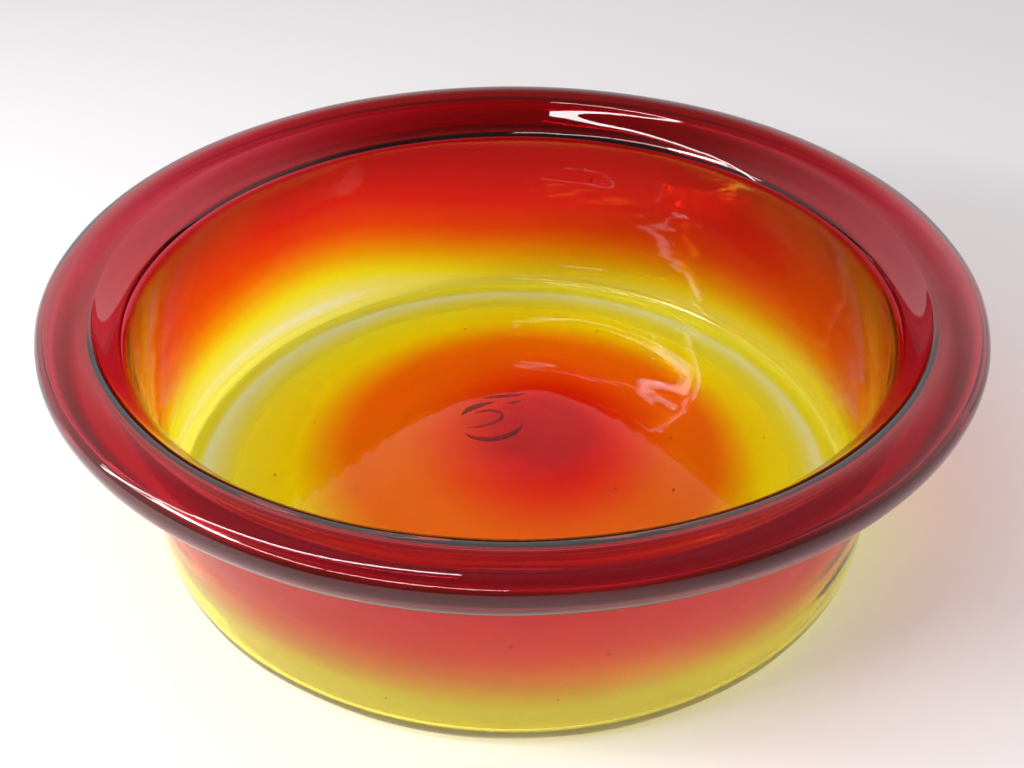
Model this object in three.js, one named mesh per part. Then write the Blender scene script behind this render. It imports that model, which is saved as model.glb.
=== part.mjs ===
// A blown glass bowl with a folded, rolled rim.
// Millimetres, +Z up. The origin lies on the table, on the bowl's axis.
import * as THREE from 'three';

// Driving dimensions
const RIM_RADIUS = 178; // outermost edge of the rolled rim
const ROLL_HEIGHT = 102; // middle of the roll above the table
const ROLL_HALF_WIDTH = 10.8;
const ROLL_HALF_HEIGHT = 7.7;
const ROLL_DROP = 12; // how far the roll reaches below its middle
const ROLL_START = 150; // degrees from level where the rim's inner flank runs into the roll
const ROLL_END = -72; // degrees from level where the underside leaves the roll
const ROLL_GLASS = 5.4; // the glass thickens a little as it is turned over
const ROLL_GLASS_FROM = 0.35; // share of the way along the fold where it is as thick as that
const LIP_GLASS = 3;
const LIP_GLASS_FROM = 0.7; // share of the way along the fold where it thins on to the lip
const LIP_RISE = 1.8; // the lip's middle ends this far above the crease
const FLANK_FOOT_PULL = new THREE.Vector2(0.5, 6.5); // the flank's curve, from its foot
const FLANK_HEAD_PULL = new THREE.Vector2(-2.9, -4.4); // and from where it meets the roll
const UNDER_ROLL_PULL = new THREE.Vector2(-4.4, -1.7); // the underside's curve, from the roll
const UNDER_LIP_PULL = new THREE.Vector2(3.2, 1.6); // and from the lip
const WALL_GLASS = 4.8;
const WALL_BELLY = 0.2; // how far the wall has leaned out half-way up
const CREASE_HEIGHT = 88.4; // where the folded lip comes back to the wall
const CREASE_RADIUS = 152.6; // outer face of the wall at the crease
const BODY_RADIUS = 152; // outer face of the wall just above the heel
const HEEL_RADIUS = 9; // rounding between the foot and the wall
const FOOT_INNER_RADIUS = 124; // the bowl rests on the flat ring outside this
const FLOOR_GLASS_EDGE = 5;
const FLOOR_GLASS_MIDDLE = 7.5;
const KICK_HEIGHT = 9; // how far the middle of the underside is pushed up
const KICK_FLAT_RADIUS = 28; // the top of the push-up, flattened by the pontil rod
const SCAR_RADIUS = 12.5; // glass left behind by the pontil rod
const SCAR_GLASS = 2.2;
const SCAR_CRATER_GLASS = 0.9;
const SCAR_CRATER_RADIUS = 7;
const SCAR_PLACE = new THREE.Vector2(-9, 16); // the rod was stuck on a little off the axis
const SEAM_GAP = 0.3; // clearance between neighbouring solids
const LIP_SLIT = 0.8; // the lip stops just short of the wall, so the fold stays open
const TURNS = 64; // facets in one full turn
const SCAR_TURNS = 24;
const FLOOR_STEPS = 6; // facets along the push-up
const HEEL_STEPS = 5;
const WALL_STEPS = 5;
const FLANK_STEPS = 5;
const OVER_STEPS = 5; // round the upper part of the roll
const OUTER_STEPS = 3; // round its lower part
const UNDER_STEPS = 4;

// Derived dimensions
const FOOT_RADIUS = BODY_RADIUS - HEEL_RADIUS;
const ROLL_RADIUS = RIM_RADIUS - ROLL_HALF_WIDTH;

const glass = (colour, roughness) => new THREE.MeshStandardMaterial({
  color: colour,
  roughness,
  metalness: 0,
  transparent: true,
  opacity: 0.6,
});

const { clamp, degToRad, lerp, smoothstep } = THREE.MathUtils;
const point = (radius, height) => new THREE.Vector2(radius, height);

// Points on an ellipse round (radius, height), both end angles included.
function arc(radius, height, halfWidth, halfHeight, from, to, steps) {
  return Array.from({ length: steps + 1 }, (_, i) => {
    const angle = degToRad(lerp(from, to, i / steps));
    return point(radius + halfWidth * Math.cos(angle), height + halfHeight * Math.sin(angle));
  });
}

// A section (radius, height) turned about the vertical axis into a closed solid.
function turn(section, turns = TURNS) {
  return new THREE.LatheGeometry(section, turns).rotateX(Math.PI / 2);
}

function part(name, geometry, material) {
  const mesh = new THREE.Mesh(geometry, material);
  mesh.name = name;
  return mesh;
}

// Height of a smooth mound of the given height: flat in the middle, level at the foot ring.
function mound(radius, height) {
  const way = clamp((radius - KICK_FLAT_RADIUS) / (FOOT_INNER_RADIUS - KICK_FLAT_RADIUS), 0, 1);
  return height * (0.5 + 0.5 * Math.cos(Math.PI * way));
}

// The floor: a thick disc, pushed up in the middle, resting on a flat ring.
function floorGeometry() {
  const edge = FOOT_RADIUS - SEAM_GAP;
  const radii = Array.from({ length: FLOOR_STEPS + 1 },
    (_, i) => lerp(KICK_FLAT_RADIUS, FOOT_INNER_RADIUS, i / FLOOR_STEPS));
  const topRise = KICK_HEIGHT + FLOOR_GLASS_MIDDLE - FLOOR_GLASS_EDGE;
  const underside = radii.map((r) => point(r, mound(r, KICK_HEIGHT)));
  const top = radii.map((r) => point(r, FLOOR_GLASS_EDGE + mound(r, topRise))).reverse();
  return turn([
    point(0, KICK_HEIGHT),
    ...underside,
    point(edge, 0),
    point(edge, FLOOR_GLASS_EDGE),
    ...top,
    point(0, KICK_HEIGHT + FLOOR_GLASS_MIDDLE),
  ]);
}

// The wall: it leaves the foot in a rounded heel and flares slightly up to the crease.
function wallGeometry() {
  const top = CREASE_HEIGHT - SEAM_GAP / 2;
  const outerHeel = arc(FOOT_RADIUS, HEEL_RADIUS, HEEL_RADIUS, HEEL_RADIUS, -90, 0, HEEL_STEPS);
  const innerHeel = arc(FOOT_RADIUS, HEEL_RADIUS, HEEL_RADIUS - WALL_GLASS,
    HEEL_RADIUS - FLOOR_GLASS_EDGE, 0, -90, HEEL_STEPS);
  const flare = new THREE.QuadraticBezierCurve(
    point(BODY_RADIUS, HEEL_RADIUS),
    point(BODY_RADIUS + WALL_BELLY, (HEEL_RADIUS + top) / 2),
    point(CREASE_RADIUS, top),
  );
  const outer = flare.getPoints(WALL_STEPS).slice(1);
  const inner = outer.map((p) => point(p.x - WALL_GLASS, p.y)).reverse();
  return turn([...outerHeel, ...outer, ...inner, ...innerHeel, outerHeel[0].clone()]);
}

// The middle of the rim's glass: up from the crease, over the roll and back under to the wall.
function foldLine() {
  const half = ROLL_GLASS / 2;
  const width = ROLL_HALF_WIDTH - half;
  const upper = ROLL_HALF_HEIGHT - half;
  const lower = ROLL_DROP - half;
  const over = [
    ...arc(ROLL_RADIUS, ROLL_HEIGHT, width, upper, ROLL_START, 0, OVER_STEPS),
    ...arc(ROLL_RADIUS, ROLL_HEIGHT, width, lower, 0, ROLL_END, OUTER_STEPS).slice(1),
  ];
  const start = point(CREASE_RADIUS - WALL_GLASS / 2, CREASE_HEIGHT + SEAM_GAP / 2);
  const turned = over[0];
  const flank = new THREE.CubicBezierCurve(
    start,
    start.clone().add(FLANK_FOOT_PULL),
    turned.clone().add(FLANK_HEAD_PULL),
    turned,
  ).getPoints(FLANK_STEPS).slice(0, -1);
  const folded = over.at(-1);
  const lip = point(CREASE_RADIUS + LIP_SLIT + LIP_GLASS / 2, CREASE_HEIGHT + LIP_RISE);
  const under = new THREE.CubicBezierCurve(
    folded,
    folded.clone().add(UNDER_ROLL_PULL),
    lip.clone().add(UNDER_LIP_PULL),
    lip,
  ).getPoints(UNDER_STEPS).slice(1);
  return [...flank, ...over, ...under];
}

// The rim: its glass thickens a little into the roll, then thins on the way back to the lip.
function rimGeometry() {
  const line = foldLine();
  const last = line.length - 1;
  const face = (side) => line.map((p, i) => {
    const way = i / last;
    const turned = lerp(WALL_GLASS, ROLL_GLASS, smoothstep(way, 0, ROLL_GLASS_FROM));
    const thick = lerp(turned, LIP_GLASS, smoothstep(way, LIP_GLASS_FROM, 1));
    const along = i === 0 ? point(0, 1) : line[Math.min(i + 1, last)].clone().sub(line[i - 1]);
    along.setLength(side * thick / 2);
    return point(p.x - along.y, p.y + along.x);
  });
  const outside = face(1);
  const hollow = face(-1).reverse();
  return turn([...outside, ...hollow, outside[0].clone()].reverse());
}

// The pontil scar: a snapped-off ring of glass with a shallow crater, on the underside.
function scarGeometry() {
  const crater = SCAR_GLASS - SCAR_CRATER_GLASS;
  const lipRadius = (SCAR_CRATER_RADIUS + SCAR_RADIUS) / 2;
  const geometry = turn([
    point(0, crater),
    point(SCAR_CRATER_RADIUS, crater),
    point(lipRadius, 0),
    point(SCAR_RADIUS, SCAR_GLASS),
    point(0, SCAR_GLASS),
  ], SCAR_TURNS);
  return geometry.translate(SCAR_PLACE.x, SCAR_PLACE.y, KICK_HEIGHT - SCAR_GLASS - SEAM_GAP);
}

const bowl = new THREE.Group();
bowl.add(
  part('bowl_floor', floorGeometry(), glass(0xe08a18, 0.05)),
  part('bowl_wall', wallGeometry(), glass(0xd8531a, 0.05)),
  part('rolled_rim', rimGeometry(), glass(0x8f1420, 0.04)),
  part('pontil_scar', scarGeometry(), glass(0xb8321f, 0.3)),
);

export default bowl;
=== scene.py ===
"""Looks for a blown glass bowl with a rolled rim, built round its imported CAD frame."""

import logging
import math
import random
from collections.abc import Mapping, Sequence
from dataclasses import dataclass, field
from enum import Enum, auto
from typing import ClassVar

import bmesh
import bpy
from mathutils import Matrix, Vector, noise


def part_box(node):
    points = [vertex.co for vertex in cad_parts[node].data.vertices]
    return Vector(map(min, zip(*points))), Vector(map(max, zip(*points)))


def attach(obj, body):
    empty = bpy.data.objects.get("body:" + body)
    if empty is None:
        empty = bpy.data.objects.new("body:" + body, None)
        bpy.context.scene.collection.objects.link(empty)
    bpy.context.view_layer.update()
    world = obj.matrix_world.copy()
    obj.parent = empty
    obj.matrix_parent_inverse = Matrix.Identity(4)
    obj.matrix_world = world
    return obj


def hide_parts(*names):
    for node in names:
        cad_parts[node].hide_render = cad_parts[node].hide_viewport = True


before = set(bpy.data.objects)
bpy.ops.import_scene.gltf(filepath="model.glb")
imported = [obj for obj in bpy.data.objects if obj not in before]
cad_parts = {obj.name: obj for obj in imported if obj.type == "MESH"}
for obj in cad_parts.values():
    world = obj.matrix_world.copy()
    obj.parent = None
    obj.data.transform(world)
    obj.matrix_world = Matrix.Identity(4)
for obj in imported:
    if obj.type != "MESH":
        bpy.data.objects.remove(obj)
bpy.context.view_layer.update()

log = logging.getLogger("bowl")

Point = tuple[float, float]
Place = tuple[float, float, float]
Colour = tuple[float, float, float]
Line = list[tuple[Point, float]]

MM = 0.001
UP = Vector((0.0, 0.0, 1.0))


class Strike(Enum):
    """How far the heat has struck the glass, as a share from clear to ruby."""

    CLEAR = 0.0
    STRAW = 0.12
    YELLOW = 0.25
    AMBER = 0.38
    ORANGE = 0.5
    FLAME = 0.62
    RED = 0.74
    CRIMSON = 0.87
    RUBY = 1.0


class Face(Enum):
    """The faces of the glass, from under the floor round the rim to the inside."""

    UNDERSIDE = auto()
    OUTER = auto()
    HOLLOW = auto()
    ROLL = auto()
    FLANK = auto()
    INNER = auto()


def mix(a: float, b: float, share: float) -> float:
    """Return the value that lies that share of the way from a to b."""
    return a + (b - a) * share


def smooth_step(low: float, high: float, value: float) -> float:
    """Return 0 below low, 1 above high and a smooth climb between them."""
    share = min(max((value - low) / (high - low), 0.0), 1.0)
    return share * share * (3.0 - 2.0 * share)


def pulled(point: Point, pull: Point) -> Point:
    """Return the point moved by the pull."""
    return point[0] + pull[0], point[1] + pull[1]


def arc(centre: Point, half: Point, start: float, end: float, steps: int) -> list[Point]:
    """Walk along an ellipse in the section plane.

    Args:
        centre: Radius and height of the middle.
        half: Half width and half height.
        start: First angle in degrees, 0 pointing away from the axis.
        end: Last angle in degrees.
        steps: Number of stretches.

    Returns:
        The points, both ends included.
    """
    points = []
    for i in range(steps + 1):
        angle = math.radians(mix(start, end, i / steps))
        reach = (half[0] * math.cos(angle), half[1] * math.sin(angle))
        points.append(pulled(centre, reach))
    return points


def bezier(points: Sequence[Point], steps: int) -> list[Point]:
    """Walk along a Bezier curve of any degree.

    Args:
        points: Control points, ends included.
        steps: Number of stretches.

    Returns:
        The points, both ends included.
    """
    walk = []
    for i in range(steps + 1):
        share = i / steps
        level = list(points)
        while len(level) > 1:
            pairs = zip(level, level[1:])
            level = [(mix(a[0], b[0], share), mix(a[1], b[1], share)) for a, b in pairs]
        walk.append(level[0])
    return walk


@dataclass(frozen=True)
class Section:
    """The bowl's section, in metres, worked out from the CAD nodes' boxes."""

    rim_radius: float
    rim_top: float
    body_radius: float
    crease_height: float
    foot_radius: float
    kick_height: float
    roll_half_width: float = 10.8 * MM
    roll_half_height: float = 7.7 * MM
    roll_drop: float = 12.0 * MM
    roll_start: float = 158.0
    roll_end: float = -72.0
    roll_glass: float = 5.4 * MM
    roll_glass_from: float = 0.35
    lip_glass: float = 3.0 * MM
    lip_glass_from: float = 0.7
    lip_rise: float = 1.8 * MM
    lip_slit: float = 0.8 * MM
    flank_pulls: tuple[Point, Point] = ((0.5 * MM, 6.5 * MM), (-2.9 * MM, -4.4 * MM))
    under_pulls: tuple[Point, Point] = ((-4.4 * MM, -1.7 * MM), (3.2 * MM, 1.6 * MM))
    wall_glass: float = 4.8 * MM
    wall_belly: float = 0.2 * MM
    crease_flare: float = 0.6 * MM
    floor_glass_edge: float = 5.0 * MM
    floor_glass_middle: float = 7.5 * MM
    foot_inner_radius: float = 124.0 * MM
    kick_flat_radius: float = 28.0 * MM
    floor_steps: int = 56
    outer_heel_steps: int = 14
    inner_heel_steps: int = 10
    wall_steps: int = 30
    flank_steps: int = 18
    over_steps: int = 40
    outside_steps: int = 24
    under_steps: int = 18
    lip_steps: int = 8

    @classmethod
    def from_frame(cls) -> "Section":
        """Read the driving sizes off the CAD nodes' boxes.

        Returns:
            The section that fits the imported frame.
        """
        rim_low, rim_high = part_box("rolled_rim")
        wall_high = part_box("bowl_wall")[1]
        floor_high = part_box("bowl_floor")[1]
        seam = rim_low.z - wall_high.z
        return cls(
            rim_radius=rim_high.x,
            rim_top=rim_high.z,
            body_radius=wall_high.x - cls.crease_flare,
            crease_height=(rim_low.z + wall_high.z) / 2,
            foot_radius=floor_high.x + seam,
            kick_height=floor_high.z - cls.floor_glass_middle,
        )

    @property
    def heel(self) -> float:
        """Radius of the rounding between the foot and the wall."""
        return self.body_radius - self.foot_radius

    @property
    def crease_radius(self) -> float:
        """Radius of the wall's outer face at the crease."""
        return self.body_radius + self.crease_flare

    @property
    def roll(self) -> Point:
        """Radius and height of the middle of the roll."""
        return self.rim_radius - self.roll_half_width, self.rim_top - self.roll_half_height

    def mound(self, radius: float, height: float) -> float:
        """Shape the push-up, flat in the middle and level at the foot.

        Args:
            radius: How far from the axis.
            height: How high the middle stands.

        Returns:
            The push-up's height there.
        """
        way = (radius - self.kick_flat_radius) / (self.foot_inner_radius - self.kick_flat_radius)
        way = min(max(way, 0.0), 1.0)
        return height * (0.5 + 0.5 * math.cos(math.pi * way))

    def underside(self, radius: float) -> float:
        """Return the height of the floor's lower face."""
        return self.mound(radius, self.kick_height)

    def floor_top(self, radius: float) -> float:
        """Return the height of the floor's upper face."""
        rise = self.kick_height + self.floor_glass_middle - self.floor_glass_edge
        return self.floor_glass_edge + self.mound(radius, rise)

    def fold_line(self) -> Line:
        """Walk up the middle of the glass from the crease, over the roll and back under it.

        Returns:
            Each point of the line with the thickness of the glass there.
        """
        half = self.roll_glass / 2
        upper = (self.roll_half_width - half, self.roll_half_height - half)
        lower = (self.roll_half_width - half, self.roll_drop - half)
        over = arc(self.roll, upper, self.roll_start, 0, self.over_steps)
        over += arc(self.roll, lower, 0, self.roll_end, self.outside_steps)[1:]
        start = (self.crease_radius - self.wall_glass / 2, self.crease_height)
        foot_pull, head_pull = self.flank_pulls
        flank = (start, pulled(start, foot_pull), pulled(over[0], head_pull), over[0])
        lip_radius = self.crease_radius + self.lip_slit + self.lip_glass / 2
        lip = (lip_radius, self.crease_height + self.lip_rise)
        roll_pull, lip_pull = self.under_pulls
        under = (over[-1], pulled(over[-1], roll_pull), pulled(lip, lip_pull), lip)
        line = bezier(flank, self.flank_steps) + over[1:] + bezier(under, self.under_steps)[1:]
        count = len(line) - 1
        return [(p, self.fold_glass(i / count)) for i, p in enumerate(line)]

    def fold_glass(self, way: float) -> float:
        """Work out the thickness of the folded glass.

        Args:
            way: The share of the way from the crease to the lip.

        Returns:
            The thickness there.
        """
        turned = smooth_step(0.0, self.roll_glass_from, way)
        thick = mix(self.wall_glass, self.roll_glass, turned)
        return mix(thick, self.lip_glass, smooth_step(self.lip_glass_from, 1.0, way))

    @staticmethod
    def beside(line: Line, side: float) -> list[Point]:
        """Follow one face of the glass.

        Args:
            line: The middle of the glass with its thickness.
            side: 1 for the face on the left of the line's direction, -1 for the right.

        Returns:
            One point for each point of the line.
        """
        face = []
        for i, ((r, z), thick) in enumerate(line):
            ahead, behind = line[min(i + 1, len(line) - 1)][0], line[max(i - 1, 0)][0]
            along = (0.0, 1.0) if i == 0 else (ahead[0] - behind[0], ahead[1] - behind[1])
            reach = side * thick / 2 / math.hypot(*along)
            face.append((r - along[1] * reach, z + along[0] * reach))
        return face

    def walls(self) -> tuple[list[Point], list[Point]]:
        """Walk up the outside from the foot to the crease, and back down the inside.

        Returns:
            The outer face and the inner face, each with its heel.
        """
        heel, seam = self.heel, self.crease_height
        centre = (self.foot_radius, heel)
        within = (heel - self.wall_glass, heel - self.floor_glass_edge)
        leaning = (self.body_radius + self.wall_belly, (heel + seam) / 2)
        ends = (self.body_radius, heel), (self.crease_radius, seam)
        flare = bezier((ends[0], leaning, ends[1]), self.wall_steps)
        outer = arc(centre, (heel, heel), -90, 0, self.outer_heel_steps) + flare[1:]
        inner = [(r - self.wall_glass, z) for r, z in reversed(flare)]
        return outer, inner + arc(centre, within, 0, -90, self.inner_heel_steps)[1:]

    def points(self) -> list[tuple[Point, Face]]:
        """Walk round the glass from the axis below the floor to the axis above it.

        Returns:
            Radius and height of each point with the face that it lies on: outside first, then
            the fold, the rim and the inside.
        """
        radii = [self.foot_radius * (i / self.floor_steps) for i in range(self.floor_steps)]
        outer, inner = self.walls()
        fold = self.fold_line()
        outside, hollow = self.beside(fold, 1.0), self.beside(fold, -1.0)
        end, before = fold[-1][0], fold[-2][0]
        heading = math.degrees(math.atan2(end[1] - before[1], end[0] - before[0]))
        half = self.lip_glass / 2
        lip = arc(end, (half, half), heading - 90, heading + 90, self.lip_steps)[1:-1]
        walk = (
            (Face.UNDERSIDE, [(r, self.underside(r)) for r in radii]),
            (Face.OUTER, outer),
            (Face.HOLLOW, hollow[1:]),
            (Face.ROLL, lip + outside[: self.flank_steps : -1]),
            (Face.FLANK, outside[self.flank_steps : 0 : -1]),
            (Face.INNER, inner + [(r, self.floor_top(r)) for r in reversed(radii)]),
        )
        return [(point, face) for face, stretch in walk for point in stretch]


@dataclass(frozen=True)
class Heat:
    """How the furnace struck the glass: ruby at the rim and in the middle, clear at the foot.

    The stops are in millimetres out from the floor's middle and up the wall. The drift gives, for
    places round the wall in degrees, how many millimetres lower the wall's colours lie there; it
    is partly the glass's uneven striking and partly painted shade, deepest at the back and right
    and palest on the left. It fades in over a range of heights and out from a share of the
    crease's height. The back, front and brow numbers paint shade into the roll's colour, deeper at
    the back and at the near side's lower edge and brow. The bands and heights of the front and the
    brow are measured out and up from the middle of the roll.
    """

    section: Section
    floor_stops: tuple[tuple[float, Strike], ...] = (
        (0.0, Strike.RED),
        (19.0, Strike.RED),
        (27.0, Strike.FLAME),
        (36.0, Strike.ORANGE),
        (60.0, Strike.AMBER),
        (82.0, Strike.AMBER),
        (104.0, Strike.YELLOW),
        (126.0, Strike.STRAW),
        (139.0, Strike.CLEAR),
    )
    wall_stops: tuple[tuple[float, Strike], ...] = (
        (-8.0, Strike.CLEAR),
        (-1.0, Strike.STRAW),
        (9.0, Strike.YELLOW),
        (20.0, Strike.AMBER),
        (29.0, Strike.ORANGE),
        (37.0, Strike.FLAME),
        (52.0, Strike.RED),
        (84.0, Strike.CRIMSON),
        (89.0, Strike.CRIMSON),
        (97.0, Strike.RUBY),
    )
    # Partly uneven striking, partly painted shade: deepest at the back and right, palest on the
    # left.
    drift_and_shade: tuple[Point, ...] = (
        (10.0, -6.0),
        (48.0, -7.0),
        (90.0, -1.0),
        (134.0, -17.0),
        (170.0, -15.0),
        (215.0, -12.0),
        (270.0, -12.0),
        (325.0, -12.0),
    )
    drift_from: Point = (3.0 * MM, 12.0 * MM)
    drift_until: float = 0.7
    heart: Point = (20.0 * MM, 4.0 * MM)
    walls: dict[Face, float] = field(
        default_factory=lambda: {Face.HOLLOW: 0.0, Face.ROLL: 1.7, Face.FLANK: 1.1}
    )
    fold_band: Point = (-2.0 * MM, 4.0 * MM)
    # The back, front and brow numbers paint shade into the roll's colour.
    back_shade: float = 1.5
    back_turn: float = math.radians(80.0)
    back_sharpness: int = 3
    front_shade: float = 4.5
    front_band: Point = (-2.0 * MM, 4.0 * MM)
    front_heights: Point = (-8.0 * MM, -3.0 * MM)
    brow_shade: float = 2.6
    brow_band: Point = (-9.0 * MM, -4.0 * MM)
    brow_heights: Point = (-1.0 * MM, 3.0 * MM)

    @staticmethod
    def along(stops: tuple[tuple[float, Strike], ...], place: float) -> float:
        """Look the strike up along a row of stops.

        Args:
            stops: Places in millimetres, in order, with the strike at each.
            place: The place in millimetres.

        Returns:
            The strike as a share from clear to ruby.
        """
        if place <= stops[0][0]:
            return stops[0][1].value
        for (low, before), (high, after) in zip(stops, stops[1:]):
            if place <= high:
                return mix(before.value, after.value, (place - low) / (high - low))
        return stops[-1][1].value

    def unevenness_and_shade(self, turn: float) -> float:
        """Look up the drift, partly uneven striking and partly painted shade.

        Args:
            turn: A place round the wall, in radians.

        Returns:
            How many millimetres lower the colours lie there.
        """
        place = math.degrees(turn) % 360.0
        knots = (*self.drift_and_shade, (self.drift_and_shade[0][0] + 360.0, self.drift_and_shade[0][1]))
        if place < knots[0][0]:
            place += 360.0
        for (low, before), (high, after) in zip(knots, knots[1:]):
            if place <= high:
                return mix(before, after, smooth_step(low, high, place))
        return knots[0][1]

    def at(self, spot: Vector) -> float:
        """Return the strike at a point of the glass.

        Args:
            spot: A point on or in the glass, in metres.

        Returns:
            The share from clear, 0, to ruby, 1.
        """
        radius = math.hypot(spot.x, spot.y)
        if radius < self.section.foot_radius - self.section.floor_glass_edge:
            pull = 1.0 - radius / self.section.foot_radius
            off = (spot.x - self.heart[0] * pull, spot.y - self.heart[1] * pull)
            return self.along(self.floor_stops, math.hypot(*off) / MM)
        top = self.section.crease_height
        fade = smooth_step(*self.drift_from, spot.z)
        fade *= 1.0 - smooth_step(self.drift_until * top, top, spot.z)
        # The drift adds painted shade as well as uneven striking.
        drift_and_shade = self.unevenness_and_shade(math.atan2(spot.y, spot.x)) * fade
        return self.along(self.wall_stops, spot.z / MM + drift_and_shade)

    def depth(self, spot: Vector, face: Face) -> float:
        """Return the walls' worth of colour at a point of one face, plus painted shade on the
        roll.

        Args:
            spot: The point, in metres.
            face: The face that it lies on.

        Returns:
            1 on the plain wall and more on the roll, none in the hollow; on the roll painted shade
            also deepens it at the back and at the near side's lower edge and brow.
        """
        value = self.walls.get(face, 1.0)
        turn = math.atan2(spot.y, spot.x)
        # Painted shade: the roll and flank are coloured deeper towards the back.
        if face in (Face.ROLL, Face.FLANK):
            back = max(0.0, math.cos(turn - self.back_turn))
            value *= 1.0 + self.back_shade * back**self.back_sharpness
        # Painted shade: on the near side the roll's lower outer edge and brow are coloured deeper.
        if face is Face.ROLL:
            front = max(0.0, -math.sin(turn))
            ring, middle = self.section.roll
            out, up = math.hypot(spot.x, spot.y) - ring, spot.z - middle
            low = smooth_step(*self.front_band, out) * (1.0 - smooth_step(*self.front_heights, up))
            brow = (1.0 - smooth_step(*self.brow_band, out)) * smooth_step(*self.brow_heights, up)
            value *= 1.0 + front * max(self.front_shade * low, self.brow_shade * brow)
        return mix(1.0, value, smooth_step(*self.fold_band, spot.z - self.section.crease_height))


@dataclass(frozen=True)
class Wander:
    """The small unevenness that blowing and spinning leave in the glass.

    Lengths are in metres and scales in waves a metre. The offsets take each kind of unevenness
    from its own part of the noise, and the two faces of the glass from different parts.
    """

    section: Section
    wall_from: Point = (0.75, 0.84)
    grain_scale: float = 22.0
    grain_out: float = 0.25 * MM
    grain_lift: float = 0.2 * MM
    fine_scale: Place = (28.0, 28.0, 115.0)
    fine_out: float = 0.22 * MM
    fine_lift: float = 0.04 * MM
    lift_from: Point = (0.0, 4.0 * MM)
    oval: float = 0.0035
    oval_turn: float = 0.4
    ring_height: float = 0.08 * MM
    ring_pitch: float = 1.3 * MM
    swell: float = 0.5
    swell_scale: float = 30.0
    kick_shift: float = 7.0 * MM

    OUTER_GRAIN: ClassVar[Vector] = Vector((0.0, 0.0, 0.0))
    INNER_GRAIN: ClassVar[Vector] = Vector((0.0, 0.0, 7.0))
    OUTER_FINE: ClassVar[Vector] = Vector((3.0, 0.0, 0.0))
    INNER_FINE: ClassVar[Vector] = Vector((3.0, 0.0, 9.0))
    SWELL: ClassVar[Vector] = Vector((11.0, 0.0, 0.0))

    def rings(self, radius: float, spot: Vector) -> float:
        """Return the height of the spin rings on the floor's upper face."""
        swell = self.swell + noise.noise(spot * self.swell_scale + self.SWELL)
        return self.ring_height * swell * math.sin(radius / self.ring_pitch)

    def kick(self, radius: float, spot: Vector) -> float:
        """Work out what it does that the push-up lies a little off the axis.

        Args:
            radius: The point's true radius.
            spot: The point.

        Returns:
            How much higher the push-up is there than on the axis.
        """
        shifted = math.hypot(spot.x - self.kick_shift, spot.y)
        off = self.section.mound(shifted, 1.0) - self.section.mound(radius, 1.0)
        return off * self.section.kick_height

    def moved(self, radius: float, height: float, turn: float, inside: bool) -> Vector:
        """Move one point of the section a little off the true round.

        Args:
            radius: The point's true radius.
            height: The point's true height.
            turn: The point's place round the axis, in radians.
            inside: True on the bowl's inner face.

        Returns:
            The point in space.
        """
        spot = Vector((radius * math.cos(turn), radius * math.sin(turn), height))
        wall = smooth_step(*self.wall_from, radius / self.section.rim_radius)
        drawn = spot * Vector(self.fine_scale)
        grain_place, fine_place = self.OUTER_GRAIN, self.OUTER_FINE
        if inside:
            grain_place, fine_place = self.INNER_GRAIN, self.INNER_FINE
        grain = noise.noise(spot * self.grain_scale + grain_place)
        fine = noise.noise(drawn + fine_place)
        out = wall * (self.grain_out * grain + self.fine_out * fine)
        oval = wall * self.oval * radius * math.cos(2 * turn + self.oval_turn)
        lift = self.grain_lift * grain + self.fine_lift * fine
        lift *= smooth_step(*self.lift_from, height)
        rise = lift + self.kick(radius, spot) + (self.rings(radius, spot) if inside else 0.0)
        reach = radius + out + oval
        return Vector(
            (reach * math.cos(turn), reach * math.sin(turn), height + rise * (1.0 - wall))
        )


@dataclass(frozen=True)
class Web:
    """A node tree with short ways to add its nodes and join them."""

    tree: bpy.types.NodeTree

    def node(self, kind: str, **settings: str) -> bpy.types.Node:
        """Add one node.

        Args:
            kind: The node's type.
            settings: Its own plain settings, such as its operation.

        Returns:
            The node.
        """
        node = self.tree.nodes.new(kind)
        for name, value in settings.items():
            setattr(node, name, value)
        return node

    def feed(
        self,
        node: bpy.types.Node,
        feeds: Mapping[str | int, bpy.types.NodeSocket | float | tuple[float, ...]],
    ) -> None:
        """Link or set the inputs of a node.

        Args:
            node: The node that takes them.
            feeds: For each input's name or number, the output that feeds it or a plain value.
        """
        for key, value in feeds.items():
            if isinstance(value, bpy.types.NodeSocket):
                self.tree.links.new(value, node.inputs[key])
            else:
                node.inputs[key].default_value = value

    def maths(
        self, operation: str, *feeds: bpy.types.NodeSocket | float
    ) -> bpy.types.NodeSocket:
        """Add one Math node.

        Args:
            operation: What it works out.
            feeds: The two or three outputs or numbers that it works on.

        Returns:
            Its result.
        """
        node = self.node("ShaderNodeMath", operation=operation)
        self.feed(node, dict(enumerate(feeds)))
        return node.outputs[0]

    def stored(self, name: str) -> bpy.types.NodeSocket:
        """Read a number stored at the mesh's points."""
        return self.node("ShaderNodeAttribute", attribute_name=name).outputs["Fac"]

    def ramp(
        self, factor: bpy.types.NodeSocket, stops: Sequence[tuple[float, Colour]]
    ) -> bpy.types.NodeSocket:
        """Add a colour ramp.

        Args:
            factor: What it is looked up by.
            stops: The place, from 0 to 1, and colour of each stop, in order.

        Returns:
            The ramp's colour.
        """
        node = self.node("ShaderNodeValToRGB")
        made = node.color_ramp.elements
        ready = len(made)
        for i, (place, colour) in enumerate(stops):
            stop = made[i] if i < ready else made.new(place)
            stop.position = place
            stop.color = (*colour, 1.0)
        self.feed(node, {"Fac": factor})
        return node.outputs["Color"]


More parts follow.
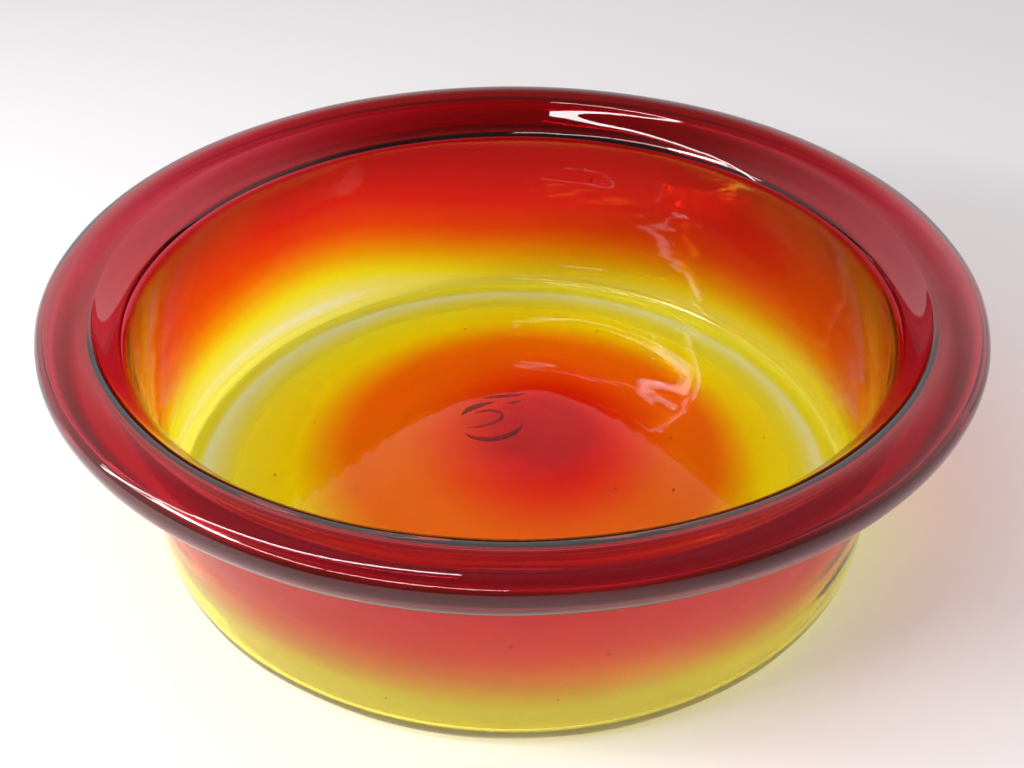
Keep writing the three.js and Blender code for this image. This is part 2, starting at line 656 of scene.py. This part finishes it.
class StruckColour:
    """The node group that turns strike into colour, shared by all the glass."""

    NAME = "struck_colour"
    DETAIL = 3.0
    MIDDLE = 0.5
    INPUTS: tuple[tuple[str, float], ...] = (("Mottle", 0.02), ("Scale", 14.0))
    RAMP: tuple[tuple[Strike, Colour], ...] = (
        (Strike.CLEAR, (0.97, 0.985, 0.93)),
        (Strike.STRAW, (0.98, 0.95, 0.2)),
        (Strike.YELLOW, (0.98, 0.9, 0.012)),
        (Strike.AMBER, (0.96, 0.42, 0.002)),
        (Strike.ORANGE, (0.93, 0.18, 0.003)),
        (Strike.FLAME, (0.87, 0.065, 0.005)),
        (Strike.RED, (0.76, 0.02, 0.01)),
        (Strike.CRIMSON, (0.46, 0.012, 0.010)),
        (Strike.RUBY, (0.72, 0.11, 0.18)),
    )

    @classmethod
    def group(cls) -> bpy.types.NodeTree:
        """Build the group once and return it.

        Returns:
            A node tree with the inputs Mottle and Scale and the outputs Colour and Strike.
        """
        if cls.NAME in bpy.data.node_groups:
            return bpy.data.node_groups[cls.NAME]
        tree = bpy.data.node_groups.new(cls.NAME, "ShaderNodeTree")
        new_socket = tree.interface.new_socket
        for name, value in cls.INPUTS:
            socket = new_socket(name=name, in_out="INPUT", socket_type="NodeSocketFloat")
            socket.default_value = value
        new_socket(name="Colour", in_out="OUTPUT", socket_type="NodeSocketColor")
        new_socket(name="Strike", in_out="OUTPUT", socket_type="NodeSocketFloat")
        web = Web(tree)
        inputs, outputs = web.node("NodeGroupInput"), web.node("NodeGroupOutput")
        place = web.node("ShaderNodeTexCoord")
        cloud = web.node("ShaderNodeTexNoise")
        web.feed(
            cloud,
            {
                "Vector": place.outputs["Object"],
                "Scale": inputs.outputs["Scale"],
                "Detail": cls.DETAIL,
            },
        )
        centred = web.maths("SUBTRACT", cloud.outputs["Fac"], cls.MIDDLE)
        strike = web.stored("strike")
        uneven = web.maths("MULTIPLY_ADD", centred, inputs.outputs["Mottle"], strike)
        colour = web.ramp(uneven, [(level.value, colour) for level, colour in cls.RAMP])
        web.feed(outputs, {"Colour": colour, "Strike": uneven})
        return tree


@dataclass(frozen=True)
class Glass:
    """A heat-struck glass: clear, hard and bright, coloured by how far it has struck."""

    name: str
    roughness: float = 0.0
    mottle: float = 0.03
    cloud_scale: float = 14.0
    ripple: float = 0.02
    ripple_scale: float = 60.0
    ripple_detail: float = 1.0
    index: float = 1.5
    edge: float = 1.2
    edge_power: float = 2.0
    worn_roughness: float = 0.5

    def material(self) -> bpy.types.Material:
        """Build the material.

        Returns:
            A Principled glass whose colour and faint ripple come from nodes. Where light slants
            through the glass its way is longer, so the colour is deeper.
        """
        made = bpy.data.materials.new(self.name)
        made.use_nodes = True
        made.node_tree.nodes.clear()
        web = Web(made.node_tree)
        shader = web.node("ShaderNodeBsdfPrincipled")
        web.feed(
            shader,
            {
                "IOR": self.index,
                "Transmission Weight": 1.0,
                "Metallic": 0.0,
                "Base Color": self.colour(web),
                "Normal": self.waves(web),
                "Roughness": web.maths(
                    "MULTIPLY_ADD", web.stored("wear"), self.worn_roughness, self.roughness
                ),
            },
        )
        output = web.node("ShaderNodeOutputMaterial")
        web.feed(output, {"Surface": shader.outputs["BSDF"]})
        return made

    def colour(self, web: Web) -> bpy.types.NodeSocket:
        """Add the struck colour, deepened by depth with painted shade and by the slant of the way.

        Args:
            web: The material's nodes.

        Returns:
            The colour.
        """
        struck = web.node("ShaderNodeGroup")
        struck.node_tree = StruckColour.group()
        web.feed(struck, {"Mottle": self.mottle, "Scale": self.cloud_scale})
        slant = web.node("ShaderNodeLayerWeight")
        squared = web.maths("POWER", slant.outputs["Facing"], self.edge_power)
        longer = web.maths("MULTIPLY_ADD", squared, self.edge, 1.0)
        # The stored number is the glass's thickness with the roll's painted shade in it.
        walls = web.maths("MULTIPLY", longer, web.stored("depth"))
        deepen = web.node("ShaderNodeGamma")
        web.feed(deepen, {"Color": struck.outputs["Colour"], "Gamma": walls})
        return deepen.outputs["Color"]

    def waves(self, web: Web) -> bpy.types.NodeSocket:
        """Add the faint ripple that is too fine for the mesh.

        Args:
            web: The material's nodes.

        Returns:
            The rippled normal.
        """
        place = web.node("ShaderNodeTexCoord")
        ripple = web.node("ShaderNodeTexNoise")
        web.feed(
            ripple,
            {
                "Vector": place.outputs["Object"],
                "Scale": self.ripple_scale,
                "Detail": self.ripple_detail,
            },
        )
        bump = web.node("ShaderNodeBump")
        web.feed(
            bump, {"Strength": self.ripple, "Distance": MM, "Height": ripple.outputs["Fac"]}
        )
        return bump.outputs["Normal"]


def join(
    shape: bmesh.types.BMesh, low: list[bmesh.types.BMVert], high: list[bmesh.types.BMVert]
) -> None:
    """Fill the band between two neighbouring rings, or between a ring and a single point.

    Args:
        shape: Where the faces are added.
        low: The first ring.
        high: The second ring, with as many points unless one of the two is a single point.
    """
    turns = max(len(low), len(high))
    for k in range(turns):
        after = (k + 1) % turns
        if len(low) == 1:
            shape.faces.new((low[0], high[after], high[k]))
        elif len(high) == 1:
            shape.faces.new((low[k], low[after], high[0]))
        else:
            shape.faces.new((low[k], low[after], high[after], high[k]))


def dressed(
    name: str, shape: bmesh.types.BMesh, finish: Glass, nodes: Sequence[str]
) -> bpy.types.Object:
    """Turn a shape into a smooth glass piece that stands for CAD nodes.

    Args:
        name: The piece's name.
        shape: Its shape, which is used up.
        finish: Its glass.
        nodes: The CAD nodes that it stands for.

    Returns:
        The piece, riding on the part's one body.
    """
    mesh = bpy.data.meshes.new(name)
    shape.to_mesh(mesh)
    shape.free()
    mesh.polygons.foreach_set("use_smooth", [True] * len(mesh.polygons))
    mesh.materials.append(finish.material())
    piece = bpy.data.objects.new(name, mesh)
    bpy.context.scene.collection.objects.link(piece)
    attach(piece, "root")
    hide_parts(*nodes)
    log.info("%s: %d faces", piece.name, len(mesh.polygons))
    return piece


@dataclass(frozen=True)
class Seed:
    """One small bubble: its middle and its radius."""

    place: Vector
    size: float


@dataclass
class BowlGlass:
    """The bowl's one body of glass: floor, wall and rolled rim, turned and then made uneven."""

    section: Section
    heat: Heat
    turns: int = 240
    worn_from: Point = (-6.0 * MM, 4.0 * MM)
    worn_heights: Point = (0.3 * MM, 1.2 * MM)
    seed_count: int = 22
    seed_draw: int = 5
    seed_sizes: Point = (0.25 * MM, 0.6 * MM)
    seed_stretch: float = 1.5
    floor_seeds: float = 0.6
    floor_seed_area: Point = (0.05, 0.95)
    floor_seed_pull: float = 0.97
    wall_seed_heights: Point = (0.2, 0.8)
    finish: Glass = field(default_factory=lambda: Glass("struck_glass"))

    def shape(self) -> bmesh.types.BMesh:
        """Turn the section round the axis into one closed surface with its seeds.

        Returns:
            A shape with the strike, the depth of colour with its painted shade, and the wear
            stored at each point.
        """
        wander = Wander(self.section)
        shape = bmesh.new()
        layers = shape.verts.layers.float
        strike, depth, wear = layers.new("strike"), layers.new("depth"), layers.new("wear")
        rings: list[list[bmesh.types.BMVert]] = []
        for (radius, height), face in self.section.points():
            turns = self.turns if radius > 0.0 else 1
            inside = face in (Face.INNER, Face.ROLL, Face.FLANK)
            ring = []
            for k in range(turns):
                spot = wander.moved(radius, height, math.tau * k / turns, inside)
                vert = shape.verts.new(spot)
                vert[strike] = self.heat.at(spot)
                # The colour's depth, with painted shade on the roll.
                vert[depth] = self.heat.depth(spot, face)
                vert[wear] = self.worn(radius, height, face)
                ring.append(vert)
            rings.append(ring)
        for low, high in zip(rings, rings[1:]):
            join(shape, low, high)
        bmesh.ops.recalc_face_normals(shape, faces=shape.faces)
        for seed in self.seeds():
            self.hollow(shape, seed)
        return shape

    def worn(self, radius: float, height: float, face: Face) -> float:
        """Work out how far the glass is rubbed dull: only the ring that the bowl stands on.

        Args:
            radius: The point's true radius.
            height: The point's true height.
            face: The face that it lies on.

        Returns:
            0 on bright glass, 1 where it is fully dull.
        """
        if face not in (Face.UNDERSIDE, Face.OUTER):
            return 0.0
        ring = smooth_step(*self.worn_from, radius - self.section.foot_inner_radius)
        return ring * (1.0 - smooth_step(*self.worn_heights, height))

    def seeds(self) -> list[Seed]:
        """Scatter the few small bubbles that the glass holds.

        Returns:
            The bubbles, in the floor and in the wall.
        """
        draw = random.Random(self.seed_draw)
        seeds = []
        while len(seeds) < self.seed_count:
            turn, size = draw.uniform(0.0, math.tau), draw.uniform(*self.seed_sizes)
            if draw.random() < self.floor_seeds:
                area = draw.uniform(*self.floor_seed_area)
                radius = self.section.foot_inner_radius * math.sqrt(area)
                near = radius * self.floor_seed_pull
                height = (self.section.underside(near) + self.section.floor_top(near)) / 2
            else:
                radius = self.section.body_radius - self.section.wall_glass / 2
                height = draw.uniform(*self.wall_seed_heights) * self.section.crease_height
            place = Vector((radius * math.cos(turn), radius * math.sin(turn), height))
            seeds.append(Seed(place, size))
        return seeds

    def hollow(self, shape: bmesh.types.BMesh, seed: Seed) -> None:
        """Add one bubble as a small closed cavity, its faces turned in.

        Args:
            shape: The glass that holds it.
            seed: The bubble.
        """
        drawn_out = Matrix.Diagonal((seed.size, self.seed_stretch * seed.size, seed.size, 1.0))
        turned = Matrix.Rotation(math.atan2(seed.place.y, seed.place.x), 4, "Z")
        placed = Matrix.Translation(seed.place) @ turned @ drawn_out
        made = bmesh.ops.create_icosphere(shape, subdivisions=2, radius=1.0, matrix=placed)
        faces = {face for vert in made["verts"] for face in vert.link_faces}
        bmesh.ops.reverse_faces(shape, faces=list(faces))

    def build(self) -> bpy.types.Object:
        """Make the glass, dress it and put it in the place of its CAD nodes."""
        nodes = ("bowl_floor", "bowl_wall", "rolled_rim")
        return dressed("bowl_glass", self.shape(), self.finish, nodes)


@dataclass(frozen=True)
class Snapped:
    """One ridge left where glass snapped off: a curve, and how broad it is in the middle."""

    curve: tuple[Point, ...]
    half_width: float
    half_height: float = 0.7 * MM


@dataclass
class PontilScar:
    """The mark under the floor where the pontil rod was broken away: curled, snapped ridges."""

    finish: Glass = field(
        default_factory=lambda: Glass(
            "snapped_glass", roughness=0.18, mottle=0.3, ripple=0.4, ripple_scale=900.0
        )
    )
    steps: int = 40
    sides: int = 10
    depth: float = 1.2
    scale: float = 1.12 * MM
    taper: float = 0.6
    ragged: float = 0.35
    ragged_scale: float = 700.0
    ridges: tuple[Snapped, ...] = (
        Snapped(
            ((-7.5, 1.0), (-3.0, 5.5), (9.5, 5.5), (7.0, -3.5), (-1.0, -6.5), (-10.5, -8.5)),
            0.8 * MM,
        ),
        Snapped(
            ((-11.0, -11.5), (-6.5, -17.0), (5.0, -16.0), (10.0, -11.0), (12.5, -5.5)),
            1.5 * MM,
        ),
        Snapped(((-12.5, -0.5), (-11.5, 5.0), (-6.0, 7.5), (1.0, 9.0)), 1.4 * MM),
        Snapped(((-4.5, 11.0), (0.5, 14.0), (8.0, 13.5), (14.0, 14.5)), 0.6 * MM),
        Snapped(((5.5, 7.5), (8.5, 9.5), (12.0, 9.5)), 0.5 * MM),
    )

    def build(self) -> bpy.types.Object:
        """Make the ridges, dress them and put them in the place of the CAD node.

        Returns:
            All the ridges as one piece.
        """
        low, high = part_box("pontil_scar")
        middle = (low + high) / 2
        shape = bmesh.new()
        layers = shape.verts.layers.float
        strike, depth = layers.new("strike"), layers.new("depth")
        for ridge in self.ridges:
            line = bezier([(x * self.scale, y * self.scale) for x, y in ridge.curve], self.steps)
            spots = [Vector((middle.x + x, middle.y + y, high.z)) for x, y in line]
            self.sweep(shape, ridge, spots)
        for vert in shape.verts:
            vert[strike] = Strike.CRIMSON.value
            vert[depth] = self.depth
        bmesh.ops.recalc_face_normals(shape, faces=shape.faces)
        return dressed("pontil_ridges", shape, self.finish, ("pontil_scar",))

    def sweep(self, shape: bmesh.types.BMesh, ridge: Snapped, line: list[Vector]) -> None:
        """Sweep a lens-shaped section along a line, tapered to nothing at both ends.

        Args:
            shape: Where the ridge is added.
            ridge: The ridge's sizes.
            line: Points just under the floor that the ridge hangs from.
        """
        last = len(line) - 1
        rings = [[shape.verts.new(line[0])]]
        for i in range(1, last):
            across = (line[i + 1] - line[i - 1]).normalized().cross(UP)
            size = math.sin(math.pi * i / last) ** self.taper
            size *= 1.0 + self.ragged * noise.noise(line[i] * self.ragged_scale)
            wide, tall = ridge.half_width * size, ridge.half_height * size
            ring = []
            for k in range(self.sides):
                turn = math.tau * k / self.sides
                rise = tall * math.sin(turn) - tall
                spot = line[i] + across * (wide * math.cos(turn)) + UP * rise
                ring.append(shape.verts.new(spot))
            rings.append(ring)
        rings.append([shape.verts.new(line[-1])])
        for low, high in zip(rings, rings[1:]):
            join(shape, low, high)


@dataclass(frozen=True)
class SoftBox:
    """One flat lamp: where it hangs, its width and height, its power in watts and its colour."""

    name: str
    place: Place
    size: Point
    power: float
    colour: Colour = (1.0, 1.0, 0.98)

    def hang(self, target: Vector) -> bpy.types.Object:
        """Hang the lamp.

        Args:
            target: What it faces.

        Returns:
            The lamp.
        """
        data = bpy.data.lights.new(self.name, "AREA")
        data.shape = "RECTANGLE"
        data.size, data.size_y = self.size
        data.energy = self.power
        data.color = self.colour
        lamp = bpy.data.objects.new(self.name, data)
        bpy.context.scene.collection.objects.link(lamp)
        lamp.location = self.place
        facing = Vector(self.place) - target
        lamp.rotation_euler = facing.to_track_quat("Z", "Y").to_euler()
        return lamp


@dataclass(frozen=True)
class TubeRow:
    """A row of tubes end to end from start to end, with a small gap between neighbours."""

    name: str
    start: Place
    end: Place
    count: int
    power: float = 5.0
    width: float = 0.05
    fill: float = 0.97
    colour: Colour = (1.0, 0.97, 0.99)

    def hang(self) -> None:
        """Hang the tubes so that they face the bowl and lie along the row."""
        start = Vector(self.start)
        step = (Vector(self.end) - start) / self.count
        size = (step.length * self.fill, self.width)
        for i in range(self.count):
            place = start + step * (i + 0.5)
            power = self.power / self.count
            box = SoftBox(f"{self.name}_{i}", tuple(place), size, power, self.colour)
            tube = box.hang(Vector())
            facing = place.normalized()
            side = facing.cross(step).normalized()
            turned = Matrix((side.cross(facing), side, facing)).transposed()
            tube.rotation_euler = turned.to_euler()


@dataclass(frozen=True)
class Room:
    """A pale room all round.

    The soft light that falls on the floor is even, while the room that shows in the glass is
    bright low down, where the backdrop stands, and dim above and on the near side. Light that
    reaches the floor through the glass is stronger, by the lift.
    """

    levels: tuple[Point, ...] = ((0.0, 0.92), (0.45, 0.86), (0.62, 0.45), (0.75, 0.2), (1.0, 0.2))
    green: float = 0.98
    even: tuple[float, ...] = (0.66, 0.635, 0.645, 1.0)
    near: Point = (-0.75, 0.22)
    far: Point = (0.1, 1.0)
    lift: float = 1.7
    bounced: float = 0.5

    def seen(self, web: Web) -> bpy.types.NodeSocket:
        """Add the room as it shows in the glass and behind it.

        Args:
            web: The world's nodes.

        Returns:
            The room's colour in each direction.
        """
        place, split = web.node("ShaderNodeTexCoord"), web.node("ShaderNodeSeparateXYZ")
        web.feed(split, {0: place.outputs["Generated"]})
        stops = [(height, (level, level * self.green, level)) for height, level in self.levels]
        colour = web.ramp(split.outputs["Z"], stops)
        toward = web.node("ShaderNodeMapRange", interpolation_type="SMOOTHSTEP")
        web.feed(
            toward,
            {
                "Value": split.outputs["Y"],
                "From Min": self.near[0],
                "From Max": self.far[0],
                "To Min": self.near[1],
                "To Max": self.far[1],
            },
        )
        shaded = web.node("ShaderNodeVectorMath", operation="SCALE")
        web.feed(shaded, {0: colour, "Scale": toward.outputs["Result"]})
        return shaded.outputs[0]

    def build(self) -> None:
        """Wrap the scene in the room."""
        world = bpy.data.worlds.new("pale_room")
        world.use_nodes = True
        web = Web(world.node_tree)
        path = web.node("ShaderNodeLightPath").outputs
        unlit = web.maths("LESS_THAN", path["Diffuse Depth"], self.bounced)
        mirrored = web.maths("MULTIPLY", path["Is Glossy Ray"], unlit)
        choose = web.node("ShaderNodeMix", data_type="RGBA")
        web.feed(
            choose,
            {
                "A": self.even,
                "B": self.seen(web),
                "Factor": web.maths("MAXIMUM", mirrored, path["Is Camera Ray"]),
            },
        )
        lit = web.maths("SUBTRACT", 1.0, unlit)
        through = web.maths("MULTIPLY", path["Is Transmission Ray"], lit)
        web.feed(
            world.node_tree.nodes["Background"],
            {
                "Color": choose.outputs["Result"],
                "Strength": web.maths("MULTIPLY_ADD", through, self.lift, 1.0),
            },
        )
        bpy.context.scene.world = world


@dataclass
class Studio:
    """A pale floor, soft light and the camera."""

    section: Section
    camera_distance: float = 2.3721
    camera_lift: float = math.radians(30.055)
    camera_dip: float = math.radians(6.538)
    camera_roll: float = math.radians(-0.078)
    lens: float = 37.15
    sensor: float = 36.0
    clip: float = 0.01
    floor_half_width: float = 3.0
    floor_drop: float = 0.05 * MM
    floor_colour: tuple[float, ...] = (0.86, 0.86, 0.86, 1.0)
    floor_roughness: float = 0.6
    floor_gloss: float = 0.2
    middle: Place = (0.0, 0.0, 0.06)
    boxes: tuple[SoftBox, ...] = (
        SoftBox("window", (-1.12, -0.5, 0.62), (0.42, 0.12), 5.0),
        SoftBox("window_sun", (-1.11, -0.496, 0.60), (0.32, 0.035), 3.0),
    )
    rows: tuple[TubeRow, ...] = (
        TubeRow("high_tubes", (-1.5, -0.13, 0.42), (-0.12, -0.4, 1.0), 2),
        TubeRow("low_tubes", (-1.6, -0.05, 0.52), (-0.05, -1.5, 0.68), 5),
    )

    def camera(self) -> bpy.types.Object:
        """Stand the camera in front of the bowl, looking down over the near rim.

        Returns:
            The camera, set as the scene's own.
        """
        data = bpy.data.cameras.new("camera")
        data.lens = self.lens
        data.sensor_width = self.sensor
        data.clip_start = self.clip
        camera = bpy.data.objects.new("camera", data)
        bpy.context.scene.collection.objects.link(camera)
        reach = self.camera_distance * self.section.rim_radius
        back, rise = reach * math.cos(self.camera_lift), reach * math.sin(self.camera_lift)
        place = Vector((0.0, -back, self.section.roll[1] + rise))
        tilt = math.pi / 2 - self.camera_lift - self.camera_dip
        tilted = Matrix.Rotation(tilt, 4, "X") @ Matrix.Rotation(self.camera_roll, 4, "Z")
        camera.matrix_world = Matrix.Translation(place) @ tilted
        bpy.context.scene.camera = camera
        return camera

    def floor(self) -> bpy.types.Object:
        """Lay the pale floor just under the foot.

        Returns:
            The floor.
        """
        shape = bmesh.new()
        bmesh.ops.create_grid(shape, x_segments=8, y_segments=8, size=self.floor_half_width)
        mesh = bpy.data.meshes.new("studio_floor")
        shape.to_mesh(mesh)
        shape.free()
        floor = bpy.data.objects.new("studio_floor", mesh)
        floor.location.z = -self.floor_drop
        bpy.context.scene.collection.objects.link(floor)
        paint = bpy.data.materials.new("pale_floor")
        paint.use_nodes = True
        shader = paint.node_tree.nodes["Principled BSDF"]
        shader.inputs["Base Color"].default_value = self.floor_colour
        shader.inputs["Roughness"].default_value = self.floor_roughness
        shader.inputs["Specular IOR Level"].default_value = self.floor_gloss
        mesh.materials.append(paint)
        return floor

    def light(self) -> None:
        """Light the scene: a pale room, a window on the left and two rows of tubes."""
        Room().build()
        for box in self.boxes:
            box.hang(Vector(self.middle))
        for row in self.rows:
            row.hang()


def main() -> None:
    """Build the studio and every piece, in order."""
    logging.basicConfig(level=logging.INFO, format="%(name)s: %(message)s")
    bpy.context.scene.view_settings.view_transform = "Standard"
    section = Section.from_frame()
    studio = Studio(section)
    studio.camera()
    studio.floor()
    studio.light()
    BowlGlass(section, Heat(section)).build()
    PontilScar().build()


if __name__ == "__main__":
    main()
